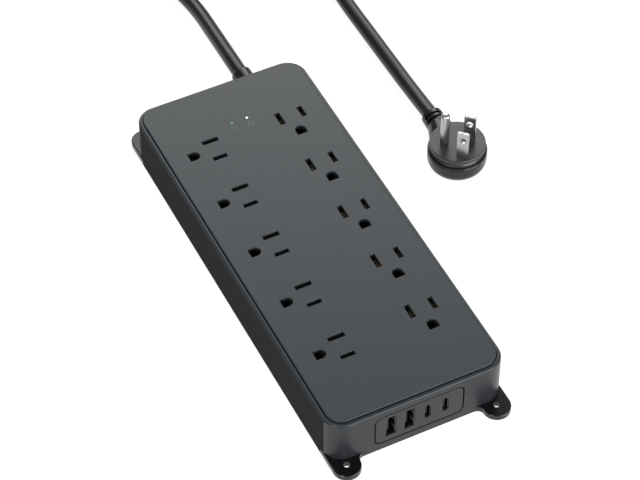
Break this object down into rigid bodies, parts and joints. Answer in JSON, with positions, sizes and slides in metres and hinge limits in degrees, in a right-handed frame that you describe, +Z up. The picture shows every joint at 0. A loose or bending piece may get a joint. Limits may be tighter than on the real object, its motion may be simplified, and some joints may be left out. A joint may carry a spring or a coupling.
{
  "type": "surge protector power strip",
  "caption": "Flat rectangular surge protector strip with two columns of grounded outlets, USB ports on one end, four wall ears and a corded flat plug.",
  "frame": {"origin": "centre of the strip's underside, measured without the free cord and plug", "axes": "+Z up; +Y along the strip towards the end that the cord leaves; +X to the right when the USB end faces the viewer"},
  "size_m": [0.17, 0.4507, 0.038],
  "materials": {
    "case": "satin moulded black ABS",
    "top_plate": "satin dark grey moulded ABS",
    "bezel": "satin black",
    "carrier": "matt black nylon",
    "brass": "bright stamped brass",
    "insulation_sheet": "grey fish paper",
    "circuit_board": "green solder mask",
    "steel_fixings": "zinc plated",
    "varistor_coat": "blue epoxy",
    "fuse_coat": "white ceramic sleeve",
    "capacitor_case": "yellow polypropylene box",
    "choke_winding": "enamelled copper winding",
    "transformer_tape": "yellow winding tape",
    "electrolytic_sleeve": "dark sleeve",
    "breaker_case": "black phenolic",
    "nickel": "nickel plated",
    "button": "black, lightly glossy",
    "led_green": "green diffused lens",
    "led_white": "white diffused lens",
    "light_pipe_green": "green tinted light pipe",
    "light_pipe_white": "clear light pipe, lit white",
    "port_shell": "plated steel shell",
    "port_tongue": "black nylon",
    "wire_black": "black PVC",
    "wire_white": "white PVC",
    "wire_green": "green PVC",
    "wire_links": "PVC insulated link wire",
    "cord_jacket": "black PVC jacket, semi-gloss",
    "strap": "black woven strap",
    "plug_moulding": "black moulded PVC, semi-gloss",
    "plug_face": "dark grey glossy insert",
    "blades": "nickel plated brass",
    "relief": "black moulded PVC"
  },
  "bodies": {
    "strip": {"upper_housing": "case", "base_cover": "case", "outlet_plate": "top_plate", "usb_bezel": "bezel", "housing_screws": "steel_fixings", "left_contact_carrier": "carrier", "right_contact_carrier": "carrier", "left_neutral_contacts": "brass", "left_live_contacts": "brass", "left_ground_contacts": "brass", "right_neutral_contacts": "brass", "right_live_contacts": "brass", "right_ground_contacts": "brass", "bus_insulators": "insulation_sheet", "bus_links": "wire_links", "surge_board": "circuit_board", "board_screws": "steel_fixings", "live_neutral_varistor": "varistor_coat", "live_ground_varistor": "varistor_coat", "neutral_ground_varistor": "varistor_coat", "thermal_fuse": "fuse_coat", "filter_capacitor": "capacitor_case", "choke": "choke_winding", "breaker_body": "breaker_case", "breaker_bushing": "nickel", "breaker_nut": "nickel", "breaker_terminals": "brass", "indicator_board": "circuit_board", "ground_led": "led_green", "power_led": "led_white", "ground_light_pipe": "light_pipe_green", "power_light_pipe": "light_pipe_white", "usb_a_shell_1": "port_shell", "usb_a_shell_2": "port_shell", "usb_c_shell_1": "port_shell", "usb_c_shell_2": "port_shell", "usb_a_tongue_1": "port_tongue", "usb_a_tongue_2": "port_tongue", "usb_c_tongue_1": "port_tongue", "usb_c_tongue_2": "port_tongue", "usb_port_board": "circuit_board", "usb_power_board": "circuit_board", "usb_transformer": "transformer_tape", "smoothing_capacitor": "electrolytic_sleeve", "strain_relief": "relief", "cord_clamp": "carrier", "clamp_screws": "steel_fixings", "live_leads": "wire_black", "neutral_lead": "wire_white", "ground_lead": "wire_green", "cord_exit_run": "cord_jacket", "cord_plug_run": "cord_jacket", "cord_coil": "cord_jacket", "cord_tie": "strap", "plug_body": "plug_moulding", "plug_face": "plug_face", "live_blade": "blades", "neutral_blade": "blades", "ground_pin": "blades"},
    "button": {"reset_button": "button"}
  },
  "joints": [
    {"name": "reset_button_slide", "type": "slide", "parent": "strip", "child": "button", "axis": [0, 1, 0], "range_m": [0, 0.003]}
  ]
}
